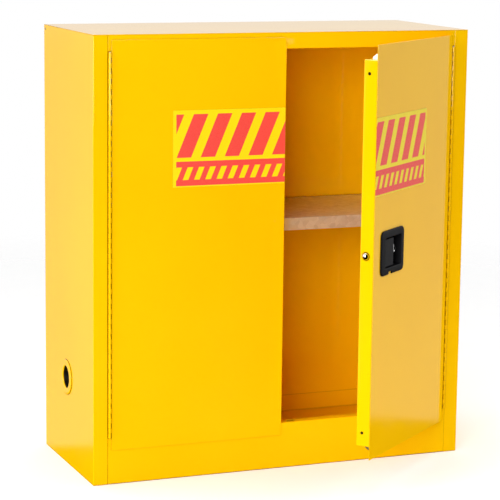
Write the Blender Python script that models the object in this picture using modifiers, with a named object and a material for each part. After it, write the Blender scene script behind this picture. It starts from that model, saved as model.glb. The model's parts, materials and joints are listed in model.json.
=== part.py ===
"""Two-door flammable storage cabinet: double-walled steel body, leakproof sump, one shelf,
piano-hinged doors and a three-point paddle latch.

Units are metres. +X is right, +Y is the back and +Z is up. The origin is at the middle of the
underside. The left door is shut and the right door stands open by REST_OPENING.
"""
from math import acos, cos, pi, radians, sin

import bmesh
import bpy
from mathutils import Matrix, Vector

# ---------------------------------------------------------------- driving dimensions
WIDTH = 1.020
DEPTH = 0.427
HEIGHT = 1.130
SHEET = 0.0012            # 18 gauge steel
AIR_GAP = 0.038           # between the outer wall and the liner
GAP = 0.0003              # seam between neighbouring pieces
BEND = 0.0020             # outer radius of a fold
STILE = 0.038             # width of the side panel's front flange
REST_OPENING = radians(40)

SILL_TOP = 0.120
RAIL_BOTTOM = 1.0885
FRAME_RETURN = 0.030      # how far the stile, sill and rail fold back
SUMP_FLOOR = 0.044
SUMP_RIM = 0.090
SHELF_TOP = 0.650
SHELF_LIP = 0.032
SHELF_FRONT = 0.041       # from the front plane

DOOR_BOTTOM = 0.088
DOOR_TOP = 1.117
DOOR_DEPTH = 0.0348
SKIN = 0.0015
SKIN_BACK = -0.0004       # the skin's back face, measured inwards from the front plane
PAN_BOTTOM = 0.122
PAN_TOP = 1.081
HALF_GAP = 0.002          # half the gap between the two shut doors

PIN_RADIUS = 0.0017
BORE_RADIUS = 0.0021
KNUCKLE_RADIUS = 0.0042
KNUCKLE_PITCH = 0.0254
KNUCKLE_PAIRS = 38
LEAF_REACH = 0.024
HINGE_BOTTOM = 0.1215

VENT_RADIUS = 0.0290      # of the bore
VENT_WALL = 0.003
VENT_FLANGE = 0.046
VENT_PROUD = 0.003
ARRESTER_INSET = 0.026    # the arrester's outer face, in from the side panel
ARRESTER_DEPTH = 0.008
VENT_DEPTH = 0.230        # from the front plane
VENT_LOW = 0.230
VENT_HIGH = 0.900

LABEL_BOTTOM = 0.748
LABEL_TOP = 0.941
LABEL_HALF = 0.304

LATCH_HEIGHT = 0.6005
CAM_TURN = radians(40)
CAM_ARM = 0.016           # rod pins' radius on the cam
BOLT_ARM = 0.013          # bolt pin's radius on the cam
CAM_X = 0.040             # from the cabinet's centre plane, door shut
ROD_X = 0.032
ROD_DEPTH = 0.0119
BOLT_DEPTH = 0.020
BOLT_RADIUS = 0.0094
BOLT_THROW = 0.009
TIP_THROW = 0.013         # how far a rod tip stands out of the door pan
TIP_NEAR = 0.0037         # the tip's front and back faces, from the rod's middle depth
TIP_FAR = 0.0095
TIP_SEAT = 0.0155         # where a rod ends and its tip starts, in from the end of the pan
GUIDE_INSET = 0.034       # the rod and bolt guides, in from the ends of the pan
FLUSH_BOLT = 0.130        # the left door's bolts, in from the ends of the pan
THUMB_TAB = 0.115         # their thumb tabs, in from the ends of the pan
THUMB_TRAVEL = 0.014

BEZEL = (0.292, 0.427, 0.545, 0.657)     # from the hinge: near side, far side, bottom, top
RECESS = (0.310, 0.403, 0.562, 0.638)
RECESS_FLOOR = 0.022
LOCK_S = 0.332
LOCK_Z = 0.603
PADDLE_S = 0.3985
PADDLE_DEPTH = 0.0015
PADDLE_CLEAR = 0.004
SPRING_ROOM = 0.020

# ---------------------------------------------------------------- derived places
FRONT = -DEPTH / 2
BACK = DEPTH / 2
SIDE = WIDTH / 2
OPENING_X = SIDE - STILE                     # inner face of the stile's return
AXIS_X = OPENING_X - GAP - KNUCKLE_RADIUS
AXIS_Y = FRONT - 0.0032
LINER_BACK = BACK - AIR_GAP - SHEET          # front face of the back liner
LINER_FRONT = FRONT + FRAME_RETURN + GAP
LEAF_FACE = KNUCKLE_RADIUS + GAP             # door sheet metal starts here, from the axis
SKIN_EDGE = AXIS_X - HALF_GAP
PAN_EDGE = SKIN_EDGE - 0.0005
HINGE_LENGTH = KNUCKLE_PITCH * KNUCKLE_PAIRS
CAM_REST = CAM_TURN / 2

for old in list(bpy.data.objects):
    bpy.data.objects.remove(old, do_unlink=True)


def new_collection(name):
    collection = bpy.data.collections.new(name)
    bpy.context.scene.collection.children.link(collection)
    return collection


PARTS = new_collection("flammable_storage_cabinet")
CUTTERS = new_collection("cutters")


# ---------------------------------------------------------------- materials
def material(name, colour, roughness, metallic=0.0):
    made = bpy.data.materials.new(name)
    made.use_nodes = True
    shader = made.node_tree.nodes["Principled BSDF"]
    shader.inputs["Base Color"].default_value = (*colour, 1.0)
    shader.inputs["Roughness"].default_value = roughness
    shader.inputs["Metallic"].default_value = metallic
    return made


YELLOW = material("yellow_enamel", (0.95, 0.50, 0.0), 0.25)
GALVANISED = material("galvanised_steel", (0.62, 0.60, 0.56), 0.40, 1.0)
BLACK = material("black_plastic", (0.015, 0.015, 0.017), 0.40)
STEEL = material("zinc_plated_steel", (0.55, 0.55, 0.53), 0.35, 1.0)
CHROME = material("polished_steel", (0.75, 0.75, 0.75), 0.15, 1.0)
NYLON = material("white_nylon", (0.85, 0.84, 0.80), 0.45)
LABEL = material("label_film", (0.95, 0.75, 0.02), 0.35)


# ---------------------------------------------------------------- modelling helpers
def place(name, mesh, finish, parent=None, collection=PARTS):
    """A named object in the parent's space, with its finish."""
    thing = bpy.data.objects.new(name, mesh)
    collection.objects.link(thing)
    thing.parent = parent
    if finish:
        mesh.materials.append(finish)
    if collection is CUTTERS:
        thing.hide_render = True
        thing.display_type = "WIRE"
    return thing


def mesh_from(name, bm):
    mesh = bpy.data.meshes.new(name)
    bm.to_mesh(mesh)
    bm.free()
    return mesh


def box_mesh(name, low, high, open_side=None):
    """A box between two corners, with one side left open if open_side is a direction."""
    low, high = Vector(low), Vector(high)
    size = high - low
    bm = bmesh.new()
    bmesh.ops.create_cube(bm, size=1.0)
    bmesh.ops.transform(bm, verts=bm.verts,
                        matrix=Matrix.Translation((low + high) / 2) @ Matrix.Diagonal((*size, 1)))
    if open_side:
        bm.normal_update()
        lid = max(bm.faces, key=lambda face: face.normal.dot(Vector(open_side)))
        bmesh.ops.delete(bm, geom=[lid], context="FACES")
    return mesh_from(name, bm)


def add_bevel(thing, width, segments=1):
    bevel = thing.modifiers.new("rounded edges", "BEVEL")
    bevel.width = width
    bevel.segments = segments
    bevel.limit_method = "ANGLE"
    bevel.angle_limit = radians(50)


def block(name, low, high, finish, parent=None, bevel=0.0, collection=PARTS):
    thing = place(name, box_mesh(name, low, high), finish, parent, collection)
    if bevel:
        add_bevel(thing, bevel)
    return thing


def tray(name, low, high, open_side, finish, parent=None, fold=BEND):
    """A sheet-metal pan: a box open on one side, its walls one sheet thick."""
    thing = place(name, box_mesh(name, low, high, open_side), finish, parent)
    add_bevel(thing, fold, 2)
    thicken(thing)
    return thing


def thicken(thing):
    solid = thing.modifiers.new("sheet thickness", "SOLIDIFY")
    solid.thickness = SHEET
    solid.offset = -1
    solid.use_even_offset = True


def rounded_path(points, radius, steps=3):
    """An open path in a plane, each inner corner turned into an arc."""
    path = [Vector(points[0])]
    for before, corner, after in zip(points, points[1:], points[2:]):
        corner = Vector(corner)
        back = (Vector(before) - corner).normalized()
        ahead = (Vector(after) - corner).normalized()
        centre = corner + (back + ahead) * radius
        for step in range(steps + 1):
            turn = pi / 2 * step / steps
            path.append(centre - ahead * radius * cos(turn) - back * radius * sin(turn))
    path.append(Vector(points[-1]))
    return path


# A flat outline's plane, by the axis that it is given depth along.
PLANES = {
    "Z": Matrix.Identity(4),
    "Y": Matrix(((1, 0, 0, 0), (0, 0, 1, 0), (0, 1, 0, 0), (0, 0, 0, 1))),
    "X": Matrix(((0, 0, 1, 0), (1, 0, 0, 0), (0, 1, 0, 0), (0, 0, 0, 1))),
}


def folded_sheet(name, points, along, low, high, finish, parent=None):
    """Sheet metal folded square along a path, with the outer side to the path's right.

    Along "Z" the points are (x, y); along "X" they are (y, z).
    """
    path = rounded_path(points, BEND)
    bm = bmesh.new()
    lower = [bm.verts.new(PLANES[along] @ Vector((*p, low))) for p in path]
    upper = [bm.verts.new(PLANES[along] @ Vector((*p, high))) for p in path]
    for i in range(len(path) - 1):
        bm.faces.new((lower[i], lower[i + 1], upper[i + 1], upper[i]))
    thing = place(name, mesh_from(name, bm), finish, parent)
    thicken(thing)
    return thing


def plate(name, outlines, along, low, high, finish, parent=None, collection=PARTS):
    """A flat outline with holes, given depth from low to high along an axis.

    The outlines are (x, y) along "Z", (x, z) along "Y" and (y, z) along "X".
    """
    curve = bpy.data.curves.new(name, "CURVE")
    curve.dimensions = "2D"
    curve.fill_mode = "BOTH"
    curve.extrude = (high - low) / 2
    for outline in outlines:
        spline = curve.splines.new("POLY")
        spline.points.add(len(outline) - 1)
        for point, (u, v) in zip(spline.points, outline):
            point.co = (u, v, 0, 1)
        spline.use_cyclic_u = True
    guide = bpy.data.objects.new(name + "_outline", curve)
    CUTTERS.objects.link(guide)
    graph = bpy.context.evaluated_depsgraph_get()
    mesh = bpy.data.meshes.new_from_object(guide.evaluated_get(graph))
    bpy.data.objects.remove(guide)
    bm = bmesh.new()
    bm.from_mesh(mesh)
    bmesh.ops.remove_doubles(bm, verts=bm.verts, dist=1e-6)
    bmesh.ops.transform(bm, verts=bm.verts,
                        matrix=PLANES[along] @ Matrix.Translation((0, 0, (low + high) / 2)))
    bmesh.ops.recalc_face_normals(bm, faces=bm.faces)
    bm.to_mesh(mesh)
    bm.free()
    return place(name, mesh, finish, parent, collection)


def rod_mesh(name, centre, along, low, high, radius, sides=16):
    """A round bar along an axis; centre gives its other two coordinates in X, Y, Z order."""
    bm = bmesh.new()
    bmesh.ops.create_cone(bm, cap_ends=True, segments=sides, radius1=radius, radius2=radius,
                          depth=high - low)
    turns = {
        "Z": Matrix.Identity(4),
        "Y": Matrix.Rotation(-pi / 2, 4, "X"),
        "X": Matrix.Rotation(pi / 2, 4, "Y"),
    }
    middle = (low + high) / 2
    spots = {"Z": (*centre, middle), "Y": (centre[0], middle, centre[1]), "X": (middle, *centre)}
    bmesh.ops.transform(bm, verts=bm.verts, matrix=Matrix.Translation(spots[along]) @ turns[along])
    return mesh_from(name, bm)


def rod(name, centre, along, low, high, radius, finish, parent=None, sides=16, collection=PARTS):
    return place(name, rod_mesh(name, centre, along, low, high, radius, sides), finish, parent, collection)


def combine(thing, other, operation="DIFFERENCE"):
    """Cuts the other object out of thing, or joins it on."""
    step = thing.modifiers.new(operation.lower(), "BOOLEAN")
    step.operation = operation
    step.solver = "EXACT"
    step.object = other


def block_tool(name, low, high, parent=None):
    return block(name, low, high, None, parent, collection=CUTTERS)


def rod_tool(name, centre, along, low, high, radius, parent=None, sides=24):
    return rod(name, centre, along, low, high, radius, None, parent, sides, CUTTERS)


def set_origin(thing, point):
    """Moves the object's origin to a point on its joint axis and leaves its shape in place."""
    thing.data.transform(Matrix.Translation(-Vector(point)))
    thing.location = point


def circle(centre, radius, sides):
    return [(centre[0] + radius * cos(2 * pi * i / sides), centre[1] + radius * sin(2 * pi * i / sides))
            for i in range(sides)]


def rectangle(u0, u1, v0, v1, radius=0.0, steps=3):
    """A rectangle's outline, its corners rounded if radius is given."""
    if not radius:
        return [(u0, v0), (u1, v0), (u1, v1), (u0, v1)]
    points = []
    for u, v, start in ((u1, v0, -90), (u1, v1, 0), (u0, v1, 90), (u0, v0, 180)):
        cu = u - radius if u == u1 else u + radius
        cv = v - radius if v == v1 else v + radius
        for step in range(steps + 1):
            angle = radians(start + 90 * step / steps)
            points.append((cu + radius * cos(angle), cv + radius * sin(angle)))
    return points


def smooth(thing, angle=35):
    thing.data.shade_smooth()
    thing.data.set_sharp_from_angle(angle=radians(angle))


# ---------------------------------------------------------------- joint axes
def empty(name, location, parent=None, turn=0.0):
    marker = bpy.data.objects.new(name, None)
    marker.empty_display_size = 0.05
    marker.location = location
    marker.rotation_euler.z = turn
    marker.parent = parent
    PARTS.objects.link(marker)
    return marker


LEFT, RIGHT = -1, 1
DOOR_AXIS = {
    LEFT: empty("left_door_axis", (-AXIS_X, AXIS_Y, 0)),
    RIGHT: empty("right_door_axis", (AXIS_X, AXIS_Y, 0), turn=REST_OPENING),
}
NAMES = {LEFT: "left", RIGHT: "right"}


def door_x(side, s):
    """A distance s from the hinge axis towards the free edge, as the door's own x."""
    return -side * s


def door_y(depth):
    """A depth inwards from the front plane, as the door's own y."""
    return FRONT + depth - AXIS_Y


def door_span(side, s0, s1, d0, d1, z0, z1):
    xs = sorted((door_x(side, s0), door_x(side, s1)))
    return (xs[0], door_y(d0), z0), (xs[1], door_y(d1), z1)


def from_centre(x):
    """A shut door's distance from the cabinet's centre plane, as a distance from the hinge axis."""
    return AXIS_X - x


# ---------------------------------------------------------------- cabinet body
def mirrored(points, side):
    """Left-hand points for the left side; for the right, mirrored and walked backwards."""
    if side == LEFT:
        return points
    return [(-x, y) for x, y in reversed(points)]


def side_panel(side):
    name = "side_panel_" + NAMES[side]
    path = [(-SIDE + 0.015, BACK), (-SIDE, BACK), (-SIDE, FRONT), (-OPENING_X, FRONT),
            (-OPENING_X, FRONT + FRAME_RETURN)]
    panel = folded_sheet(name, mirrored(path, side), "Z", 0, HEIGHT - SHEET - GAP, YELLOW)
    height = VENT_LOW if side == LEFT else VENT_HIGH
    hole = rod_tool(name + "_vent_hole", (FRONT + VENT_DEPTH, height), "X", side * SIDE - 0.02,
                    side * SIDE + 0.02, VENT_RADIUS + VENT_WALL + GAP, sides=32)
    combine(panel, hole)
    return panel


def keeper_slots(target, z):
    """Slots for the right door's rod tip and the left door's bolt, cut through a flange."""
    middle = FRONT + ROD_DEPTH
    tip = block_tool(target.name + "_tip_slot", (ROD_X - 0.0115, middle - TIP_NEAR - 0.0013, z - 0.005),
                     (ROD_X + 0.0115, middle + TIP_FAR + 0.0020, z + 0.005))
    bolt = block_tool(target.name + "_bolt_slot", (-ROD_X - 0.0075, middle - 0.0075, z - 0.005),
                      (-ROD_X + 0.0075, middle + 0.0075, z + 0.005))
    combine(target, tip)
    combine(target, bolt)


def body():
    for side in (LEFT, RIGHT):
        side_panel(side)
    inner = SIDE - SHEET - GAP
    block("back_panel", (-SIDE + 0.015 + GAP, BACK - SHEET, SHEET + 2 * GAP),
          (SIDE - 0.015 - GAP, BACK, HEIGHT - SHEET - GAP), YELLOW)
    block("top_panel", (-SIDE, FRONT, HEIGHT - SHEET), (SIDE, BACK, HEIGHT), YELLOW, bevel=0.0005)
    block("bottom_panel", (-inner, LINER_FRONT, 0), (inner, BACK - SHEET - GAP, SHEET), YELLOW)

    reach = OPENING_X - GAP
    sill_path = [(FRONT + FRAME_RETURN, 0), (FRONT, 0), (FRONT, SILL_TOP), (FRONT + FRAME_RETURN, SILL_TOP),
                 (FRONT + FRAME_RETURN, SILL_TOP - 0.020)]
    sill = folded_sheet("front_sill", sill_path[::-1], "X", -reach, reach, YELLOW)
    keeper_slots(sill, SILL_TOP)
    rail_path = [(FRONT, HEIGHT - SHEET - GAP), (FRONT, RAIL_BOTTOM), (FRONT + FRAME_RETURN, RAIL_BOTTOM),
                 (FRONT + FRAME_RETURN, RAIL_BOTTOM + 0.020)]
    rail = folded_sheet("top_rail", rail_path, "X", -reach, reach, YELLOW)
    keeper_slots(rail, RAIL_BOTTOM)


# ---------------------------------------------------------------- liner, sump and shelf
def liner():
    back_edge = LINER_BACK - GAP
    for side in (LEFT, RIGHT):
        name = "liner_" + NAMES[side]
        xs = sorted((side * OPENING_X, side * (OPENING_X + SHEET)))
        wall = block(name, (xs[0], LINER_FRONT, SUMP_FLOOR), (xs[1], back_edge, RAIL_BOTTOM - GAP), YELLOW)
        height = VENT_LOW if side == LEFT else VENT_HIGH
        hole = rod_tool(name + "_vent_hole", (FRONT + VENT_DEPTH, height), "X", xs[0] - 0.01, xs[1] + 0.01,
                        VENT_RADIUS + VENT_WALL + GAP, sides=24)
        combine(wall, hole)
    block("liner_back", (-OPENING_X, LINER_BACK, SUMP_FLOOR),
          (OPENING_X, LINER_BACK + SHEET, RAIL_BOTTOM + SHEET), YELLOW)
    inner = OPENING_X - GAP
    block("liner_top", (-inner, LINER_FRONT, RAIL_BOTTOM), (inner, back_edge, RAIL_BOTTOM + SHEET), YELLOW)
    tray("sump_pan", (-inner, LINER_FRONT, SUMP_FLOOR - SHEET), (inner, back_edge, SUMP_RIM), (0, 0, 1),
         YELLOW)


def shelf_parts():
    end = OPENING_X - 0.006
    back = LINER_BACK - 0.002
    tray("shelf", (-end, FRONT + SHELF_FRONT, SHELF_TOP - SHELF_LIP), (end, back, SHELF_TOP), (0, 0, -1),
         GALVANISED)
    strip_bottom, strip_top, slots = 0.160, 1.040, 11
    for side in (LEFT, RIGHT):
        for row, y in (("front", FRONT + 0.080), ("rear", LINER_BACK - 0.060)):
            tag = NAMES[side] + "_" + row
            face = side * (OPENING_X - GAP)
            inside = face - side * 0.002
            outlines = [rectangle(y - 0.008, y + 0.008, strip_bottom, strip_top)]
            pitch = (strip_top - strip_bottom) / slots
            for i in range(slots):
                middle = strip_bottom + pitch * (i + 0.5)
                outlines.append(rectangle(y - 0.002, y + 0.002, middle - 0.006, middle + 0.006))
            plate("shelf_standard_" + tag, outlines, "X", min(face, inside), max(face, inside), GALVANISED)
            edge = inside - side * GAP
            under = SHELF_TOP - SHELF_LIP - GAP
            foot = edge - side * 0.016
            tongue = edge - side * 0.0015
            outline = [(edge, under - 0.020), (edge, under + 0.012), (tongue, under + 0.012), (tongue, under),
                       (foot, under), (foot, under - 0.003), (edge - side * 0.003, under - 0.020)]
            plate("shelf_clip_" + tag, [outline], "Y", y - 0.006, y + 0.006, STEEL)


def vents():
    """A bung fitting through the double wall, with a flame arrester inside it."""
    for side in (LEFT, RIGHT):
        tag = NAMES[side]
        centre = FRONT + VENT_DEPTH, VENT_LOW if side == LEFT else VENT_HIGH
        face = side * (SIDE + GAP)
        proud = face + side * VENT_PROUD
        inner_end = side * OPENING_X
        flange = rod("vent_fitting_" + tag, centre, "X", min(face, proud), max(face, proud), VENT_FLANGE,
                     YELLOW, sides=32)
        add_bevel(flange, 0.002, 2)
        neck_end = proud - side * VENT_PROUD / 2
        neck = rod_tool("vent_neck_" + tag, centre, "X", min(inner_end, neck_end), max(inner_end, neck_end),
                        VENT_RADIUS + VENT_WALL, sides=32)
        ends = inner_end - side * 0.02, proud + side * 0.02
        bore = rod_tool("vent_bore_" + tag, centre, "X", min(ends), max(ends), VENT_RADIUS, sides=32)
        combine(flange, neck, "UNION")
        combine(flange, bore)
        near = side * (SIDE - ARRESTER_INSET)
        far = near - side * ARRESTER_DEPTH
        ends = sorted((near, far))
        rod("flame_arrester_" + tag, centre, "X", ends[0], ends[1], VENT_RADIUS - GAP, STEEL, sides=24)


def ground_screw():
    place_yz = BACK - 0.016, HEIGHT - 0.011
    screw = rod("ground_screw", place_yz, "X", -SIDE - 0.0018, -SIDE - GAP, 0.0032, STEEL, sides=12)
    smooth(screw)


# ---------------------------------------------------------------- piano hinges
def knuckle_comb(side, name, first):
    """One row of gaps, which the other leaf's knuckles fill."""
    bm = bmesh.new()
    width = 2 * KNUCKLE_RADIUS + 0.002
    for i in range(KNUCKLE_PAIRS):
        middle = HINGE_BOTTOM + KNUCKLE_PITCH * (i + (0.75 if first else 0.25))
        cell = bmesh.ops.create_cube(bm, size=1.0)["verts"]
        size = Matrix.Diagonal((width, width, KNUCKLE_PITCH / 2 + GAP, 1))
        bmesh.ops.transform(bm, verts=cell, matrix=Matrix.Translation((0, 0, middle)) @ size)
    return place(name, mesh_from(name, bm), None, collection=CUTTERS)


def leaf_outline(side_of_axis):
    """The leaf's end view around its axis: a flat leaf that rolls round the pin."""
    inner = KNUCKLE_RADIUS - SHEET
    stop = acos(inner / KNUCKLE_RADIUS)
    sweep = pi + pi - stop
    steps = 6
    arc = [(KNUCKLE_RADIUS * cos(pi + sweep * i / steps), KNUCKLE_RADIUS * sin(pi + sweep * i / steps))
           for i in range(steps + 1)]
    reach = LEAF_REACH + FRONT - AXIS_Y
    points = [(-KNUCKLE_RADIUS, reach)] + arc + [(-inner, reach)]
    return [(side_of_axis * -x, y) for x, y in points]


def hinge(side):
    """Frame leaf, door leaf and pin. The frame leaf lies on the stile's return."""
    tag = NAMES[side]
    axis = empty("hinge_place_" + tag, (side * AXIS_X, AXIS_Y, 0))
    bore = circle((0, 0), BORE_RADIUS, 6)
    top = HINGE_BOTTOM + HINGE_LENGTH
    frame_leaf = plate("hinge_frame_leaf_" + tag, [leaf_outline(side), bore], "Z", HINGE_BOTTOM, top, YELLOW,
                       axis)
    comb = knuckle_comb(side, "frame_comb_" + tag, True)
    comb.parent = axis
    combine(frame_leaf, comb)
    door_leaf = plate("hinge_door_leaf_" + tag, [leaf_outline(-side), bore], "Z", HINGE_BOTTOM, top, YELLOW,
                      DOOR_AXIS[side])
    comb = knuckle_comb(side, "door_comb_" + tag, False)
    comb.parent = DOOR_AXIS[side]
    combine(door_leaf, comb)
    rod("hinge_pin_" + tag, (0, 0), "Z", HINGE_BOTTOM - 0.001, top + 0.001, PIN_RADIUS, STEEL, axis, sides=6)


# ---------------------------------------------------------------- doors
def door(side):
    tag = NAMES[side]
    axis = DOOR_AXIS[side]
    skin_low, skin_high = door_span(side, LEAF_FACE, SKIN_EDGE, SKIN_BACK - SKIN, SKIN_BACK, DOOR_BOTTOM,
                                    DOOR_TOP)
    skin = block(tag + "_door_skin", skin_low, skin_high, YELLOW, axis, bevel=0.0004)
    low, high = door_span(side, LEAF_FACE, PAN_EDGE, SKIN_BACK + GAP, DOOR_DEPTH, PAN_BOTTOM, PAN_TOP)
    pan = tray(tag + "_door_pan", low, high, (0, -1, 0), YELLOW, axis)
    edge_x = door_x(side, PAN_EDGE)
    for z in (PAN_BOTTOM + GUIDE_INSET, PAN_TOP - GUIDE_INSET):
        combine(pan, rod_tool(f"{tag}_edge_hole_{z:.2f}", (door_y(0.020), z), "X", edge_x - 0.006,
                              edge_x + 0.006, 0.0042, axis, sides=12))
    combine(pan, rod_tool(tag + "_bolt_opening", (door_y(BOLT_DEPTH), LATCH_HEIGHT), "X", edge_x - 0.006,
                          edge_x + 0.006, 0.0110, axis, sides=20))
    for z in (PAN_BOTTOM, PAN_TOP):
        if side == RIGHT:
            s = from_centre(ROD_X)
            low, high = door_span(side, s - 0.0110, s + 0.0110, ROD_DEPTH - TIP_NEAR - 0.0008,
                                  ROD_DEPTH + TIP_FAR + 0.0010, z - 0.004, z + 0.004)
            combine(pan, block_tool(f"{tag}_tip_opening_{z:.2f}", low, high, axis))
        else:
            spot = door_x(side, from_centre(ROD_X)), door_y(ROD_DEPTH)
            combine(pan, rod_tool(f"{tag}_bolt_opening_{z:.2f}", spot, "Z", z - 0.004, z + 0.004, 0.0056,
                                  axis, sides=12))
    label_low, label_high = door_span(side, AXIS_X - LABEL_HALF, PAN_EDGE - 0.0005, SKIN_BACK - SKIN - 0.0008,
                                      SKIN_BACK - SKIN - GAP, LABEL_BOTTOM, LABEL_TOP)
    block(tag + "_label", label_low, label_high, LABEL, axis)
    return skin, pan


def rod_guide(name, side, z, opening):
    """A block screwed inside the door's free edge, with a clear way through it."""
    axis = DOOR_AXIS[side]
    low, high = door_span(side, from_centre(0.0045), from_centre(0.044), 0.0068, 0.024, z - 0.006, z + 0.006)
    guide = block(name, low, high, BLACK, axis, bevel=0.0008)
    x = door_x(side, from_centre(ROD_X))
    if opening == "flat":
        hole = block_tool(name + "_way", (x - 0.007, door_y(ROD_DEPTH) - 0.0022, z - 0.01),
                          (x + 0.007, door_y(ROD_DEPTH) + 0.0022, z + 0.01), axis)
    else:
        hole = rod_tool(name + "_way", (x, door_y(ROD_DEPTH)), "Z", z - 0.01, z + 0.01, 0.0054, axis,
                        sides=12)
    combine(guide, hole)


# ---------------------------------------------------------------- left door's flush bolts and strike
def left_bolts(pan):
    axis = DOOR_AXIS[LEFT]
    x, y = door_x(LEFT, from_centre(ROD_X)), door_y(ROD_DEPTH)
    edge = door_x(LEFT, PAN_EDGE)
    for name, pan_end, sign, proud in (("top", PAN_TOP, 1, 0.0030), ("bottom", PAN_BOTTOM, -1, 0.0012)):
        ends = sorted((pan_end + sign * proud, pan_end - sign * FLUSH_BOLT))
        bolt = rod(f"left_{name}_bolt", (x, y), "Z", ends[0], ends[1], 0.0050, STEEL, axis, sides=12)
        thumb = pan_end - sign * THUMB_TAB
        tab = block_tool(f"left_{name}_bolt_tab", (x, y - 0.003, thumb - 0.006),
                         (edge - 0.0004, y + 0.003, thumb + 0.006), axis)
        combine(bolt, tab, "UNION")
        smooth(bolt)
        low, high = sorted((thumb, thumb + sign * THUMB_TRAVEL))
        slot = block_tool(f"left_{name}_thumb_slot", (edge - 0.004, y - 0.0042, low - 0.008),
                          (edge + 0.004, y + 0.0042, high + 0.008), axis)
        combine(pan, slot)
        rod_guide(f"left_{name}_guide", LEFT, pan_end - sign * GUIDE_INSET, "round")
    hole = circle((door_y(BOLT_DEPTH), LATCH_HEIGHT), BOLT_RADIUS + 0.0012, 16)
    outline = rectangle(door_y(BOLT_DEPTH) - 0.0125, door_y(BOLT_DEPTH) + 0.0125, LATCH_HEIGHT - 0.030,
                        LATCH_HEIGHT + 0.030, 0.003, 2)
    face = edge - SHEET - GAP
    plate("strike_plate", [outline, hole], "X", face - 0.002, face, STEEL, axis)


# ---------------------------------------------------------------- right door's handle
def handle(skin):
    axis = DOOR_AXIS[RIGHT]
    s0, s1, z0, z1 = RECESS
    wall = 0.0018
    hole = wall + 2 * GAP
    low, high = door_span(RIGHT, s0 - hole, s1 + hole, -0.01, 0.01, z0 - hole, z1 + hole)
    combine(skin, block_tool("handle_opening", low, high, axis))

    face = SKIN_BACK - SKIN - GAP
    b0, b1, bz0, bz1 = BEZEL
    rim = rectangle(door_x(RIGHT, b1), door_x(RIGHT, b0), bz0, bz1, 0.014, 4)
    bezel = plate("handle_bezel", [rim], "Y", door_y(face - 0.0035), door_y(face), BLACK, axis)
    low, high = door_span(RIGHT, s0 - wall, s1 + wall, face - 0.001, RECESS_FLOOR + wall, z0 - wall,
                          z1 + wall)
    combine(bezel, block_tool("handle_tub", low, high, axis), "UNION")
    low, high = door_span(RIGHT, s0, s1, face - 0.01, RECESS_FLOOR, z0, z1)
    combine(bezel, block_tool("handle_recess", low, high, axis))
    low, high = door_span(RIGHT, 0.362, 0.383, face - 0.01, face + 0.001, bz0 - 0.01, bz0 + 0.0065)
    combine(bezel, block_tool("hasp_notch", low, high, axis))

    pivot = (door_x(RIGHT, PADDLE_S), door_y(PADDLE_DEPTH))
    grip = door_x(RIGHT, 0.3495)
    outer = door_y(-0.0030)
    eye = 0.0032
    lip, lip_end, under = 0.0034, door_y(0.0075), outer + 0.0034
    turns = [radians(60 + 45 * i) for i in range(5)]
    arc = [(pivot[0] + eye * cos(a), pivot[1] + eye * sin(a)) for a in turns]
    section = [(grip - 0.0020, outer), (grip, outer + 0.0020), (grip, lip_end), (grip - 0.0022, lip_end),
               (grip - lip, under), (pivot[0] + 0.0052, under)] + arc + [(pivot[0] + 0.001, outer)]
    paddle = plate("paddle", [section, circle(pivot, 0.0017, 8)], "Z", z0 + PADDLE_CLEAR, z1 - PADDLE_CLEAR,
                   BLACK, axis)
    middle = (z0 + z1) / 2
    gap_low = pivot[0] - 0.006, pivot[1] - 0.0012 - eye, middle - SPRING_ROOM / 2
    gap_high = pivot[0] + 0.0045, pivot[1] + 0.006, middle + SPRING_ROOM / 2
    combine(paddle, block_tool("paddle_spring_gap", gap_low, gap_high, axis))
    set_origin(paddle, (*pivot, 0))
    rod("paddle_pin", pivot, "Z", z0 + GAP, z1 - GAP, 0.0014, STEEL, axis, sides=8)
    spring(pivot, middle, axis)

    centre = (door_x(RIGHT, LOCK_S), LOCK_Z)
    seat = door_y(RECESS_FLOOR - GAP)
    barrel = plate("lock_barrel", [circle(centre, 0.0110, 24), circle(centre, 0.0078, 16)], "Y",
                   door_y(0.0050), seat, CHROME, axis)
    smooth(barrel)
    key_slot = rectangle(centre[0] - 0.0008, centre[0] + 0.0008, LOCK_Z - 0.0040, LOCK_Z + 0.0040)
    plug = plate("lock_plug", [circle(centre, 0.0074, 16)], "Y", door_y(0.0046), seat, CHROME, axis)
    combine(plug, plate("key_slot", [key_slot], "Y", door_y(0.0040), door_y(0.0100), None, axis, CUTTERS))
    set_origin(plug, (centre[0], 0, centre[1]))


def spring(pivot, middle, axis):
    """The paddle's torsion spring, wound round its pin."""
    turns, per_turn, radius, wire, height = 5, 10, 0.0024, 0.0005, 0.0085
    curve = bpy.data.curves.new("paddle_spring", "CURVE")
    curve.dimensions = "3D"
    curve.bevel_depth = wire
    curve.bevel_resolution = 0
    curve.use_fill_caps = True
    spline = curve.splines.new("POLY")
    count = turns * per_turn
    spline.points.add(count)
    for i, point in enumerate(spline.points):
        turn = 2 * pi * i / per_turn
        point.co = (pivot[0] + radius * cos(turn), pivot[1] + radius * sin(turn),
                    middle - height / 2 + height * i / count, 1)
    coil = bpy.data.objects.new("paddle_spring", curve)
    PARTS.objects.link(coil)
    coil.parent = axis
    curve.materials.append(STEEL)


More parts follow.
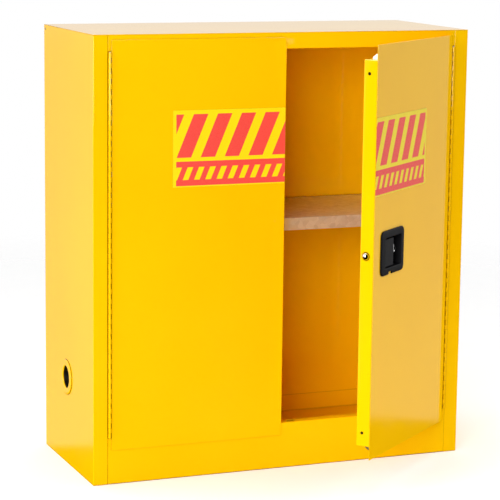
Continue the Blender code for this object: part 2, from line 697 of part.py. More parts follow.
# ---------------------------------------------------------------- three-point latch
def latch():
    axis = DOOR_AXIS[RIGHT]
    z = LATCH_HEIGHT

    def at(x):
        return door_x(RIGHT, from_centre(x))

    pin = 0.0020
    cam_low, cam_high = door_y(0.0155), door_y(0.0175)

    # The cam turns about the door's depth. Towards the hinge is +x in the door's own space.
    hub = (at(CAM_X), z)
    reach = CAM_ARM * cos(CAM_REST), CAM_ARM * sin(CAM_REST)
    upper_pin = (hub[0] + reach[0], z + reach[1])
    lower_pin = (hub[0] - reach[0], z - reach[1])
    bolt_pin = (hub[0] - BOLT_ARM * sin(CAM_REST), z + BOLT_ARM * cos(CAM_REST))
    half = 0.0045
    across = Vector((-sin(CAM_REST), cos(CAM_REST))) * half
    lobes = [Vector(upper_pin) - across, Vector(upper_pin) + Vector((half, 0)), Vector(upper_pin) + across,
             Vector(bolt_pin) + Vector((half, half)), Vector(bolt_pin) + Vector((-half, half)),
             Vector(lower_pin) + across, Vector(lower_pin) - Vector((half, 0)), Vector(lower_pin) - across]
    outline = [tuple(p) for p in lobes]
    cam = plate("latch_cam", [outline, circle(hub, 0.0033, 10)], "Y", cam_low, cam_high, STEEL, axis)
    for name, spot, low, high in (("upper", upper_pin, door_y(0.0092), cam_low + 0.001),
                                  ("lower", lower_pin, door_y(0.0092), cam_low + 0.001),
                                  ("bolt", bolt_pin, cam_high - 0.001, door_y(0.0245))):
        combine(cam, rod_tool(f"cam_{name}_pin", spot, "Y", low, high, pin, axis, sides=8), "UNION")
    set_origin(cam, (hub[0], 0, hub[1]))
    rod("cam_stud", hub, "Y", door_y(0.0145), door_y(DOOR_DEPTH - SHEET - GAP), 0.0029, STEEL, axis, sides=10)

    # Each rod is a flat bar with a foot that reaches its pin on the cam.
    bar_low, bar_high = door_y(ROD_DEPTH - 0.0015), door_y(ROD_DEPTH + 0.0015)
    bar = at(ROD_X - 0.006), at(ROD_X + 0.006)
    foot0, foot1 = upper_pin[0] - 0.0058, upper_pin[0] + 0.0060
    top_end = PAN_TOP - TIP_SEAT
    outline = [(foot0, upper_pin[1] - 0.006), (foot1, upper_pin[1] - 0.006), (foot1, z + 0.040),
               (bar[1], z + 0.040), (bar[1], top_end), (bar[0], top_end), (bar[0], z + 0.029),
               (foot0, z + 0.029)]
    slot = rectangle(upper_pin[0] - 0.0026, upper_pin[0] + 0.0037, upper_pin[1] - 0.0024,
                     upper_pin[1] + 0.0024)
    plate("upper_rod", [outline, slot], "Y", bar_low, bar_high, STEEL, axis)
    foot0, foot1 = lower_pin[0] - 0.0062, lower_pin[0] + 0.0058
    low_end = PAN_BOTTOM + TIP_SEAT
    outline = [(foot0, lower_pin[1] + 0.006), (foot0, z - 0.040), (bar[0], z - 0.040), (bar[0], low_end),
               (bar[1], low_end), (bar[1], z - 0.029), (foot1, z - 0.029), (foot1, lower_pin[1] + 0.006)]
    slot = rectangle(lower_pin[0] - 0.0037, lower_pin[0] + 0.0026, lower_pin[1] - 0.0024,
                     lower_pin[1] + 0.0024)
    plate("lower_rod", [outline, slot], "Y", bar_low, bar_high, STEEL, axis)

    # Tips, bevelled on the side that meets the frame first: nylon above, steel below.
    near, far = door_y(ROD_DEPTH - TIP_NEAR), door_y(ROD_DEPTH + TIP_FAR)
    for name, pan_end, sign, finish in (("upper", PAN_TOP, 1, NYLON), ("lower", PAN_BOTTOM, -1, STEEL)):
        base = pan_end - sign * (TIP_SEAT - GAP)
        end = pan_end + sign * TIP_THROW
        outline = [(near, base), (far, base), (far, end - sign * 0.008), (near + 0.003, end), (near, end)]
        plate(f"{name}_rod_tip", [outline], "X", at(ROD_X - 0.010), at(ROD_X + 0.010), finish, axis)
        rod_guide(f"{name}_rod_guide", RIGHT, pan_end - sign * GUIDE_INSET, "flat")

    # The centre bolt: a bullet nose on a flat tail, drawn back by the cam's third pin.
    edge = at(HALF_GAP)
    nose = bullet("latch_bolt", edge - BOLT_THROW, at(0.008), (door_y(BOLT_DEPTH), z), axis)
    tail_low, tail_high = door_y(0.0196), door_y(0.0226)
    arm_x = at(0.019)
    start, eye_x = at(0.006), bolt_pin[0] + 0.0062
    hook = [(start, z - 0.0045), (arm_x + 0.008, z - 0.0045), (arm_x + 0.008, z + 0.0068),
            (eye_x, z + 0.0068), (eye_x, z + 0.0178), (arm_x, z + 0.0178), (arm_x, z + 0.0045),
            (start, z + 0.0045)]
    slot = rectangle(bolt_pin[0] - 0.0024, bolt_pin[0] + 0.0024, bolt_pin[1] - 0.0026, bolt_pin[1] + 0.0034)
    tail = plate("bolt_tail", [hook, slot], "Y", tail_low, tail_high, None, axis, CUTTERS)
    combine(nose, tail, "UNION")


def bullet(name, tip, base, centre, axis):
    """A round bolt with a domed nose, turned about the door's own x."""
    bm = bmesh.new()
    straight = tip + BOLT_RADIUS * 0.75
    steps = 4
    profile = [(tip + (straight - tip) * (1 - cos(pi / 2 * i / steps)), BOLT_RADIUS * sin(pi / 2 * i / steps))
               for i in range(steps + 1)]
    profile += [(base, BOLT_RADIUS), (base, 0)]
    # The Screw modifier turns the profile about Z, so it is drawn upright with its nose on top.
    verts = [bm.verts.new((radius, 0, -x)) for x, radius in profile]
    for a, b in zip(verts, verts[1:]):
        bm.edges.new((a, b))
    bolt = place(name, mesh_from(name, bm), CHROME, axis)
    turned = bolt.modifiers.new("turned", "SCREW")
    turned.steps = 16
    turned.render_steps = 16
    turned.use_merge_vertices = True
    turned.merge_threshold = 0.00005
    turned.use_smooth_shade = True
    bolt.rotation_euler.y = -pi / 2
    bolt.location = (0, centre[0], centre[1])
    return bolt


# ---------------------------------------------------------------- assembly
body()
liner()
shelf_parts()
vents()
ground_screw()
for hand in (LEFT, RIGHT):
    hinge(hand)
_, left_pan = door(LEFT)
right_skin, _ = door(RIGHT)
left_bolts(left_pan)
handle(right_skin)
latch()
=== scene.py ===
"""Looks for the flammable storage cabinet: rounded sheet-metal shells, fine hinges, latch hardware and
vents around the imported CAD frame, with procedural finishes, a pale floor and a soft studio."""
import json
from math import acos, cos, degrees, pi, radians, sin, sqrt

import bmesh
import bpy
from mathutils import Euler, Matrix, Vector

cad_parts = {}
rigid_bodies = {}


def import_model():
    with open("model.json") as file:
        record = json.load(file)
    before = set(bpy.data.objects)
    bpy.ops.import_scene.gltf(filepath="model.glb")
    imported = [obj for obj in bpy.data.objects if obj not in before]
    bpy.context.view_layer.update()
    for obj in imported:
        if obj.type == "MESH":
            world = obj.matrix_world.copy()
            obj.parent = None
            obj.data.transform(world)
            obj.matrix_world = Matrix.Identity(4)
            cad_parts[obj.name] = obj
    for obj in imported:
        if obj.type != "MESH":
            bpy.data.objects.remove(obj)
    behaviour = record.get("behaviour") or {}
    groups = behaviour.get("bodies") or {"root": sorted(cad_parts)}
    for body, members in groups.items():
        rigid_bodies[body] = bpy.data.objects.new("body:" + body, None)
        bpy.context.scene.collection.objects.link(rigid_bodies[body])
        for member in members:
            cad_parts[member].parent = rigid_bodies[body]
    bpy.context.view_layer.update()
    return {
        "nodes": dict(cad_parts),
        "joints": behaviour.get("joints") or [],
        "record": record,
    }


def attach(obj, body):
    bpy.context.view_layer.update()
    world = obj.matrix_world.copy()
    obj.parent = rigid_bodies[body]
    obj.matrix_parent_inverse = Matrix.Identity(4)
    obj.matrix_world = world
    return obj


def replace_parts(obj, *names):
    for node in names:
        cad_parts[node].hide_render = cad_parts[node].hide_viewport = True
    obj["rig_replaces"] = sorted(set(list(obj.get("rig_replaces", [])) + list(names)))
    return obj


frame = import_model()

NODES = frame["nodes"]
BODY_OF = {node: body for body, nodes in frame["record"]["behaviour"]["bodies"].items() for node in nodes}
JOINTS = {joint["name"]: joint for joint in frame["joints"]}


# ---------------------------------------------------------------- places read from the frame
def door_space(joint, turned=0.0):
    """The door's own space: origin on its hinge axis at the floor, +x along the shut cabinet's front."""
    place = Vector(JOINTS[joint]["pos_m"])
    return Matrix.Translation((place.x, place.y, 0)) @ Matrix.Rotation(turned, 4, "Z")


LEFT_DOOR = door_space("left_door_hinge")
RIGHT_DOOR = door_space("right_door_hinge", -radians(JOINTS["right_door_hinge"]["range_deg"][0]))
WORLD = Matrix.Identity(4)


def box_in(space, node):
    """Lowest and highest corner of a CAD node, measured in a space."""
    back = space.inverted()
    points = [back @ vertex.co for vertex in NODES[node].data.vertices]
    low = Vector(min(p[i] for p in points) for i in range(3))
    high = Vector(max(p[i] for p in points) for i in range(3))
    return low, high


# ---------------------------------------------------------------- node helpers
class Tree:
    """A material's node tree, with short calls for the nodes that the finishes use."""

    def __init__(self, name):
        self.material = bpy.data.materials.new(name)
        self.material.use_nodes = True
        self.nodes = self.material.node_tree.nodes
        self.links = self.material.node_tree.links
        self.shader = self.nodes["Principled BSDF"]
        self.coords = self.nodes.new("ShaderNodeTexCoord").outputs["Object"]

    def put(self, socket, value):
        if isinstance(value, bpy.types.NodeSocket):
            self.links.new(value, socket)
        elif value is not None:
            socket.default_value = value

    def set(self, **values):
        for name, value in values.items():
            self.put(self.shader.inputs[name.replace("_", " ")], value)

    def noise(self, scale, detail=2.0, rough=0.5, coords=None):
        node = self.nodes.new("ShaderNodeTexNoise")
        node.inputs["Scale"].default_value = scale
        node.inputs["Detail"].default_value = detail
        node.inputs["Roughness"].default_value = rough
        self.links.new(coords or self.coords, node.inputs["Vector"])
        return node.outputs["Fac"]

    def cells(self, scale):
        """A random colour for each grain of the surface."""
        node = self.nodes.new("ShaderNodeTexVoronoi")
        node.inputs["Scale"].default_value = scale
        self.links.new(self.coords, node.inputs["Vector"])
        return node.outputs["Color"]

    def stretch(self, factors):
        node = self.nodes.new("ShaderNodeMapping")
        node.inputs["Scale"].default_value = factors
        self.links.new(self.coords, node.inputs["Vector"])
        return node.outputs["Vector"]

    def math(self, operation, a, b=None):
        node = self.nodes.new("ShaderNodeMath")
        node.operation = operation
        self.put(node.inputs[0], a)
        self.put(node.inputs[1], b)
        return node.outputs[0]

    def span(self, value, from_low, from_high, to_low, to_high):
        node = self.nodes.new("ShaderNodeMapRange")
        for index, number in enumerate((from_low, from_high, to_low, to_high), start=1):
            node.inputs[index].default_value = number
        self.links.new(value, node.inputs["Value"])
        return node.outputs["Result"]

    def mix(self, factor, a, b):
        node = self.nodes.new("ShaderNodeMix")
        node.data_type = "RGBA"
        self.put(node.inputs["Factor"], factor)
        self.put(node.inputs["A"], a if isinstance(a, bpy.types.NodeSocket) else (*a, 1.0))
        self.put(node.inputs["B"], b if isinstance(b, bpy.types.NodeSocket) else (*b, 1.0))
        return node.outputs["Result"]

    def split(self, vector):
        node = self.nodes.new("ShaderNodeSeparateXYZ")
        self.links.new(vector, node.inputs[0])
        return node.outputs

    def bump(self, height, distance, strength=1.0):
        node = self.nodes.new("ShaderNodeBump")
        node.inputs["Strength"].default_value = strength
        node.inputs["Distance"].default_value = distance
        self.links.new(height, node.inputs["Height"])
        return node.outputs["Normal"]

    def crevice_shade(self, distance):
        """1 deep in a seam or a narrow corner, 0 on open sheet; the occlusion mask for painted shade."""
        node = self.nodes.new("ShaderNodeAmbientOcclusion")
        node.samples = 6
        node.inputs["Distance"].default_value = distance
        return self.span(node.outputs["AO"], 0.35, 0.85, 1.0, 0.0)

    def edges(self, radius):
        """1 on sharp edges and corners, 0 on flat sheet."""
        bevel = self.nodes.new("ShaderNodeBevel")
        bevel.samples = 4
        bevel.inputs["Radius"].default_value = radius
        geometry = self.nodes.new("ShaderNodeNewGeometry")
        dot = self.nodes.new("ShaderNodeVectorMath")
        dot.operation = "DOT_PRODUCT"
        self.links.new(bevel.outputs["Normal"], dot.inputs[0])
        self.links.new(geometry.outputs["True Normal"], dot.inputs[1])
        return self.span(dot.outputs["Value"], 0.97, 0.80, 0.0, 1.0)


# ---------------------------------------------------------------- finishes
def enamel():
    """Gloss safety-yellow enamel: slow tone changes, fine orange peel, a painted highlight on sharp edges and
    painted shade in seams and narrow corners.
    """
    t = Tree("yellow_enamel_gloss")
    slow = t.span(t.noise(2.2, 3.0), 0.35, 0.65, 0.0, 1.0)
    tone = t.mix(slow, (0.970, 0.532, 0.0008), (0.985, 0.557, 0.0012))
    grime = t.math("MULTIPLY", t.span(t.noise(38.0, 6.0, 0.65), 0.56, 0.80, 0.0, 1.0), 0.05)
    tone = t.mix(grime, tone, (0.62, 0.36, 0.01))
    # Painted highlight: sharp edges are mixed towards a lighter, paler yellow to stand in for the bright
    # highlight lines along the folds.
    edge = t.math("MULTIPLY", t.edges(0.0010), 0.35)
    tone = t.mix(edge, tone, (0.98, 0.68, 0.045))
    # Painted shade: where occlusion is high, seams and narrow corners are mixed towards dark orange to stand
    # in for the shade in them.
    tone = t.mix(t.math("MULTIPLY", t.crevice_shade(0.006), 0.80), tone, (0.16, 0.05, 0.0))
    peel = t.noise(420.0, 2.0, 0.45)
    wave = t.noise(60.0, 1.0, 0.4)
    height = t.math("ADD", t.math("MULTIPLY", peel, 0.5), t.math("MULTIPLY", wave, 0.5))
    t.set(Base_Color=tone, Roughness=t.span(t.noise(9.0, 4.0), 0.3, 0.7, 0.03, 0.06), IOR=1.5,
          Normal=t.bump(height, 0.00006, 0.06))
    return t.material


def galvanised():
    """Galvanised sheet: zinc spangle and a faint rolling grain along the sheet."""
    t = Tree("galvanised_spangle")
    cells = t.split(t.cells(95.0))
    spangle = t.span(cells[0], 0.0, 1.0, 0.0, 1.0)
    tone = t.mix(spangle, (0.60, 0.585, 0.555), (0.74, 0.73, 0.705))
    grain = t.noise(30.0, 3.0, 0.6, t.stretch((1.0, 30.0, 30.0)))
    smear = t.span(t.noise(7.0, 5.0, 0.6), 0.35, 0.7, 0.0, 0.18)
    tone = t.mix(smear, tone, (0.42, 0.405, 0.38))
    rough = t.math("ADD", t.span(cells[1], 0.0, 1.0, 0.30, 0.42), t.span(grain, 0.3, 0.7, -0.03, 0.03))
    t.set(Base_Color=tone, Metallic=0.70, Roughness=rough, Normal=t.bump(grain, 0.00008, 0.5))
    return t.material


def plated(name="zinc_plate", dark=(0.50, 0.50, 0.485), light=(0.66, 0.655, 0.63), rough=(0.24, 0.40)):
    """Zinc plate: satin, with faint clouding and fine drawing marks."""
    t = Tree(name)
    cloud = t.span(t.noise(70.0, 4.0, 0.6), 0.3, 0.7, 0.0, 1.0)
    marks = t.noise(260.0, 2.0, 0.5, t.stretch((1.0, 1.0, 0.08)))
    t.set(Base_Color=t.mix(cloud, dark, light), Metallic=1.0,
          Roughness=t.span(marks, 0.3, 0.7, *rough), Normal=t.bump(marks, 0.00004, 0.4))
    return t.material


def chrome():
    """Bright plate on the lock and the bolt, with light handling marks."""
    t = Tree("bright_plate")
    scuffs = t.span(t.noise(900.0, 3.0, 0.7, t.stretch((1.0, 1.0, 0.25))), 0.55, 0.75, 0.0, 1.0)
    t.set(Base_Color=t.mix(scuffs, (0.80, 0.80, 0.79), (0.68, 0.68, 0.67)), Metallic=1.0,
          Roughness=t.span(scuffs, 0.0, 1.0, 0.07, 0.24), Normal=t.bump(scuffs, 0.00002, 0.3))
    return t.material


def plastic(name, tone, light, grain_height, rough, ior):
    """Moulded plastic with a fine spark-eroded grain; rubbed lighter along its edges."""
    t = Tree(name)
    grain = t.noise(1500.0, 2.0, 0.6)
    blotch = t.noise(45.0, 3.0)
    colour = t.mix(t.span(blotch, 0.35, 0.7, 0.0, 0.35), tone, light)
    colour = t.mix(t.math("MULTIPLY", t.edges(0.0008), 0.5), colour, light)
    t.set(Base_Color=colour, Roughness=t.span(blotch, 0.3, 0.7, *rough), IOR=ior,
          Normal=t.bump(grain, grain_height, 0.6))
    return t.material


# One print runs across both doors, so its x is measured from the line where the shut doors meet.
STRIPE_PITCH = 0.0640
STRIPE_SHARE = 0.60
STRIPE_LEAN = 0.42
DASH_PITCH = 0.0300
DASH_SHARE = 0.50
# Heights on the label as shares of its own height, and the plain margin at its sides.
BARS_SPAN = (0.385, 0.945)
BAND_SPAN = (0.018, 0.335)
DASH_SPAN = (0.095, 0.260)
SIDE_MARGIN = 0.0085


def label_film(low, high):
    """Printed vinyl: slanted red hazard bars over a red band with slanted yellow dashes."""
    t = Tree("label_film_print")
    x, _, z = t.split(t.coords)
    edge = -low.x - SIDE_MARGIN

    def between(value, a, b):
        above = t.math("GREATER_THAN", value, a)
        return t.math("MULTIPLY", above, t.math("LESS_THAN", value, b))

    def slanted(pitch, share):
        place = t.math("DIVIDE", t.math("SUBTRACT", x, t.math("MULTIPLY", z, STRIPE_LEAN)), pitch)
        return t.math("LESS_THAN", t.math("FRACT", place), share)

    def within(span):
        return between(z, *(low.z + (high.z - low.z) * share for share in span))

    reach = between(x, -edge, edge)
    bars = t.math("MULTIPLY", slanted(STRIPE_PITCH, STRIPE_SHARE), within(BARS_SPAN))
    dashes = t.math("MULTIPLY", slanted(DASH_PITCH, DASH_SHARE), within(DASH_SPAN))
    band = t.math("MULTIPLY", within(BAND_SPAN), t.math("SUBTRACT", 1.0, dashes))
    ink = t.math("MULTIPLY", t.math("MAXIMUM", bars, band), reach)
    fade = t.span(t.noise(120.0, 4.0, 0.6), 0.3, 0.7, 0.0, 0.06)
    red = t.mix(fade, (0.890, 0.075, 0.060), (0.93, 0.18, 0.10))
    yellow = t.mix(fade, (0.930, 0.740, 0.005), (0.90, 0.68, 0.03))
    weave = t.noise(700.0, 2.0, 0.5)
    t.set(Base_Color=t.mix(ink, yellow, red), Roughness=t.span(weave, 0.3, 0.7, 0.26, 0.34), IOR=1.46,
          Normal=t.bump(weave, 0.00003, 0.3))
    return t.material


# ---------------------------------------------------------------- piece helpers
def mesh_from(name, bm, angle=38):
    """A mesh shaded smooth, with its edges sharper than the angle kept sharp."""
    bmesh.ops.recalc_face_normals(bm, faces=bm.faces)
    mesh = bpy.data.meshes.new(name)
    bm.to_mesh(mesh)
    bm.free()
    mesh.shade_smooth()
    mesh.set_sharp_from_angle(angle=radians(angle))
    return mesh


def piece(name, mesh, finish, body, space=WORLD, replaces=()):
    """A finished piece that rides on a body and stands for the CAD nodes that it replaces."""
    thing = bpy.data.objects.new(name, mesh)
    bpy.context.scene.collection.objects.link(thing)
    mesh.materials.append(finish)
    thing.matrix_world = space
    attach(thing, body)
    if replaces:
        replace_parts(thing, *replaces)
    return thing


def bevelled(thing, width):
    """Rounds the edges that are sharper than 40 degrees and keeps the flat faces flat."""
    bevel = thing.modifiers.new("rounded edges", "BEVEL")
    bevel.width = width
    bevel.segments = 2
    bevel.limit_method = "ANGLE"
    bevel.angle_limit = radians(40)
    bevel.miter_outer = "MITER_ARC"
    flat = thing.modifiers.new("flat faces stay flat", "WEIGHTED_NORMAL")
    flat.keep_sharp = True
    flat.weight = 100
    return thing


def pair_up(bm):
    """Turns pairs of coplanar triangles into quads, which keeps every hole in a flat face open."""
    bmesh.ops.join_triangles(bm, faces=bm.faces, angle_face_threshold=radians(0.6),
                             angle_shape_threshold=radians(120))


def refined(node, finish, width):
    """The CAD node's own shape with merged faces, softened edges and smooth bends."""
    bm = bmesh.new()
    bm.from_mesh(NODES[node].data)
    bmesh.ops.remove_doubles(bm, verts=bm.verts, dist=2e-6)
    pair_up(bm)
    thing = piece(node + "_finish", mesh_from(node, bm), finish, BODY_OF[node], WORLD, (node,))
    return bevelled(thing, width)


def lathe(profile, space, segments):
    """A closed solid turned about the space's z axis from (radius, z) points; 0 radius ends are poles."""
    bm = bmesh.new()
    rings = []
    for radius, height in profile:
        if radius == 0:
            rings.append([bm.verts.new(space @ Vector((0, 0, height)))])
            continue
        rings.append([bm.verts.new(space @ Vector((radius * cos(2 * pi * i / segments),
                                                   radius * sin(2 * pi * i / segments), height)))
                      for i in range(segments)])
    closed = profile[0][0] > 0 and profile[-1][0] > 0
    pairs = list(zip(rings, rings[1:])) + ([(rings[-1], rings[0])] if closed else [])
    for a, b in pairs:
        for i in range(segments):
            j = (i + 1) % segments
            loop = [a[i % len(a)], a[j % len(a)], b[j % len(b)], b[i % len(b)]]
            bm.faces.new(list(dict.fromkeys(loop)))
    return bm


def arc(centre, radius, start, stop, steps):
    """Points on an arc, angles in degrees."""
    return [(centre[0] + radius * cos(radians(start + (stop - start) * i / steps)),
             centre[1] + radius * sin(radians(start + (stop - start) * i / steps))) for i in range(steps + 1)]


def rounded_rectangle(low, high, radius, steps=6):
    """Corner arcs of a rectangle's outline, anticlockwise from its lower right corner."""
    points = []
    for u, v, start in ((high[0] - radius, low[1] + radius, -90), (high[0] - radius, high[1] - radius, 0),
                        (low[0] + radius, high[1] - radius, 90), (low[0] + radius, low[1] + radius, 180)):
        points += arc((u, v), radius, start, start + 90, steps)
    return points


def loft(loops):
    """A skin over loops of equal length; the ends are filled."""
    bm = bmesh.new()
    rows = [[bm.verts.new(point) for point in loop] for loop in loops]
    for a, b in zip(rows, rows[1:]):
        for i in range(len(a)):
            j = (i + 1) % len(a)
            bm.faces.new((a[i], a[j], b[j], b[i]))
    bm.faces.new(rows[0])
    bm.faces.new(rows[-1])
    return bm


def tube(points, radius, sides):
    """A round wire along a path, its ends closed."""
    bm = bmesh.new()
    rows = []
    count = len(points)
    side = None
    for i, point in enumerate(points):
        ahead = (points[min(i + 1, count - 1)] - points[max(i - 1, 0)]).normalized()
        if side is None:
            side = ahead.orthogonal().normalized()
        side = (side - ahead * side.dot(ahead)).normalized()
        other = ahead.cross(side)
        turns = [2 * pi * k / sides for k in range(sides)]
        rows.append([bm.verts.new(point + radius * (side * cos(turn) + other * sin(turn))) for turn in turns])
    for a, b in zip(rows, rows[1:]):
        for i in range(sides):
            j = (i + 1) % sides
            bm.faces.new((a[i], a[j], b[j], b[i]))
    bm.faces.new(rows[0])
    bm.faces.new(rows[-1])
    return bm


def join(*parts):
    """Several bmeshes as one."""
    whole = bmesh.new()
    for part in parts:
        mesh = bpy.data.meshes.new("part")
        bmesh.ops.recalc_face_normals(part, faces=part.faces)
        part.to_mesh(mesh)
        part.free()
        whole.from_mesh(mesh)
        bpy.data.meshes.remove(mesh)
    return whole


def extruded(outline, holes, low, high, space=WORLD):
    """A flat outline with holes, given depth along the space's z axis."""
    curve = bpy.data.curves.new("outline", "CURVE")
    curve.dimensions = "2D"
    curve.fill_mode = "BOTH"
    curve.extrude = (high - low) / 2
    for loop in [outline, *holes]:
        spline = curve.splines.new("POLY")
        spline.points.add(len(loop) - 1)
        for point, (u, v) in zip(spline.points, loop):
            point.co = (u, v, 0, 1)
        spline.use_cyclic_u = True
    guide = bpy.data.objects.new("outline", curve)
    bpy.context.scene.collection.objects.link(guide)
    mesh = bpy.data.meshes.new_from_object(guide.evaluated_get(bpy.context.evaluated_depsgraph_get()))
    bpy.data.objects.remove(guide)
    bpy.data.curves.remove(curve)
    bm = bmesh.new()
    bm.from_mesh(mesh)
    bpy.data.meshes.remove(mesh)
    bmesh.ops.remove_doubles(bm, verts=bm.verts, dist=1e-6)
    pair_up(bm)
    bmesh.ops.transform(bm, verts=bm.verts, matrix=space @ Matrix.Translation((0, 0, (low + high) / 2)))
    return bm


def block(low, high):
    """A box between two corners."""
    low, high = Vector(low), Vector(high)
    bm = bmesh.new()
    bmesh.ops.create_cube(bm, size=1.0)
    bmesh.ops.transform(bm, verts=bm.verts,
                        matrix=Matrix.Translation((low + high) / 2) @ Matrix.Diagonal((*(high - low), 1)))
    return bm


def cut(bm, cutter):
    """The first closed bmesh less the second, as a new bmesh."""
    scratch = []
    for shape in (bm, cutter):
        mesh = bpy.data.meshes.new("scratch")
        bmesh.ops.recalc_face_normals(shape, faces=shape.faces)
        shape.to_mesh(mesh)
        shape.free()
        scratch.append(bpy.data.objects.new("scratch", mesh))
        bpy.context.scene.collection.objects.link(scratch[-1])
    step = scratch[0].modifiers.new("cut", "BOOLEAN")
    step.operation = "DIFFERENCE"
    step.solver = "EXACT"
    step.object = scratch[1]
    graph = bpy.context.evaluated_depsgraph_get()
    mesh = bpy.data.meshes.new_from_object(scratch[0].evaluated_get(graph))
    result = bmesh.new()
    result.from_mesh(mesh)
    bpy.data.meshes.remove(mesh)
    for thing in scratch:
        old = thing.data
        bpy.data.objects.remove(thing)
        bpy.data.meshes.remove(old)
    return result


# ---------------------------------------------------------------- finishes in use
ENAMEL = enamel()
SHEET = galvanised()
ZINC = plated()
CHROME = chrome()
BLACK = plastic("black_grain", (0.003, 0.003, 0.004), (0.010, 0.009, 0.011), 0.00003, (0.42, 0.55), 1.22)
GRIP = plastic("black_grip", (0.008, 0.008, 0.009), (0.018, 0.017, 0.020), 0.00003, (0.45, 0.55), 1.25)
NYLON = plastic("natural_nylon", (0.86, 0.85, 0.82), (0.93, 0.92, 0.90), 0.00002, (0.35, 0.48), 1.49)
# Near-black steel for the vent's bore sleeve: partly the bare steel's own tone, partly painted shade deep in
# the bore.
BORE_STEEL_AND_SHADE = plated("near_black_steel_and_bore_shade", (0.030, 0.028, 0.024), (0.070, 0.064, 0.055), (0.35, 0.55))
# Darkened steel for the arrester's core: partly its own dark metal, partly painted shade deep in the vent's
# bore.
CORE = plated("arrester_core", (0.10, 0.10, 0.095), (0.24, 0.235, 0.22), (0.40, 0.60))
FINISH_OF = {"yellow_enamel": ENAMEL, "galvanised_steel": SHEET, "black_plastic": BLACK,
             "zinc_plated_steel": ZINC, "polished_steel": CHROME, "white_nylon": NYLON}


# ---------------------------------------------------------------- piano hinges
KNUCKLE_PAIRS = 38
KNUCKLE_PLAY = 0.0003
LEAF_THICKNESS = 0.0012
PIN_BORE = 0.0021
FRAME_KNUCKLE_SETBACK = 0.55


def hinge_leaf(name, node, body, space, outward, gap_phase):
    """A leaf rolled round the pin, with gaps where the other leaf's knuckles sit.

    The space has its origin on the pin, +y into the cabinet; outward is the x side that the leaf lies on.
    """
    low, high = box_in(space, node)
    radius = -low.y
    reach = high.y
    pitch = (high.z - low.z) / KNUCKLE_PAIRS
    inner = radius - LEAF_THICKNESS
    stop = 540 - degrees(acos(inner / radius))
    roll = arc((0, 0), radius, 180, stop, 30)
    outline = [(-radius, reach)] + roll + [(-inner, reach)]
    outline = [(outward * -x, y) for x, y in outline]
    hole = arc((0, 0), PIN_BORE, 0, 345, 23)
    bm = extruded(outline, [hole], low.z, high.z)
    comb = bmesh.new()
    width = 2 * radius + 0.002
    for i in range(KNUCKLE_PAIRS):
        middle = low.z + pitch * (i + gap_phase)
        cell = bmesh.ops.create_cube(comb, size=1.0)["verts"]
        size = Matrix.Diagonal((width, width, pitch / 2 + KNUCKLE_PLAY, 1))
        bmesh.ops.transform(comb, verts=cell, matrix=Matrix.Translation((0, 0, middle)) @ size)
    bm = cut(bm, comb)
    if body == "cabinet":
        # The frame's knuckles are set back from the door's edge, which leaves a dark slot beside each.
        for vertex in bm.verts:
            if vertex.co.x * outward < 0:
                vertex.co.x *= FRAME_KNUCKLE_SETBACK
    leaf = piece(name, mesh_from(name, bm, 35), ENAMEL, body, space, (node,))
    return bevelled(leaf, 0.00025)


def hinges():
    for tag, space, outward in (("left", LEFT_DOOR, -1), ("right", RIGHT_DOOR, 1)):
        shut = Matrix.Translation(space.translation)
        hinge_leaf(f"piano_hinge_frame_{tag}", f"hinge_frame_leaf_{tag}", "cabinet", shut, outward, 0.75)
        hinge_leaf(f"piano_hinge_door_{tag}", f"hinge_door_leaf_{tag}", f"{tag}_door", space, -outward, 0.25)
        low, high = box_in(shut, f"hinge_pin_{tag}")
        pin_piece(f"piano_pin_{tag}", f"hinge_pin_{tag}", "cabinet", shut, high.x, low.z, high.z)


def pin_piece(name, node, body, space, radius, low, high, spot=(0, 0)):
    """A round pin with domed ends."""
    dome = radius * 0.45
    rise = [(radius * sin(pi / 2 * i / 4), low + dome * (1 - cos(pi / 2 * i / 4))) for i in range(5)]
    fall = [(r, high - (z - low)) for r, z in reversed(rise)]
    bm = lathe(rise + fall, Matrix.Translation((*spot, 0)), 20)
    return piece(name, mesh_from(name, bm), ZINC, body, space, (node,))


# ---------------------------------------------------------------- vents
VENT_BORE = 0.0290
VENT_NECK = 0.0320
FLANGE_PROUD = 0.0030
THREADS = 8
THREAD_PITCH = 0.0019
FIRST_THREAD = 0.0036
SCREEN_WIRE = 0.00035
SCREEN_STEP = 0.0030
CORE_RINGS = 11


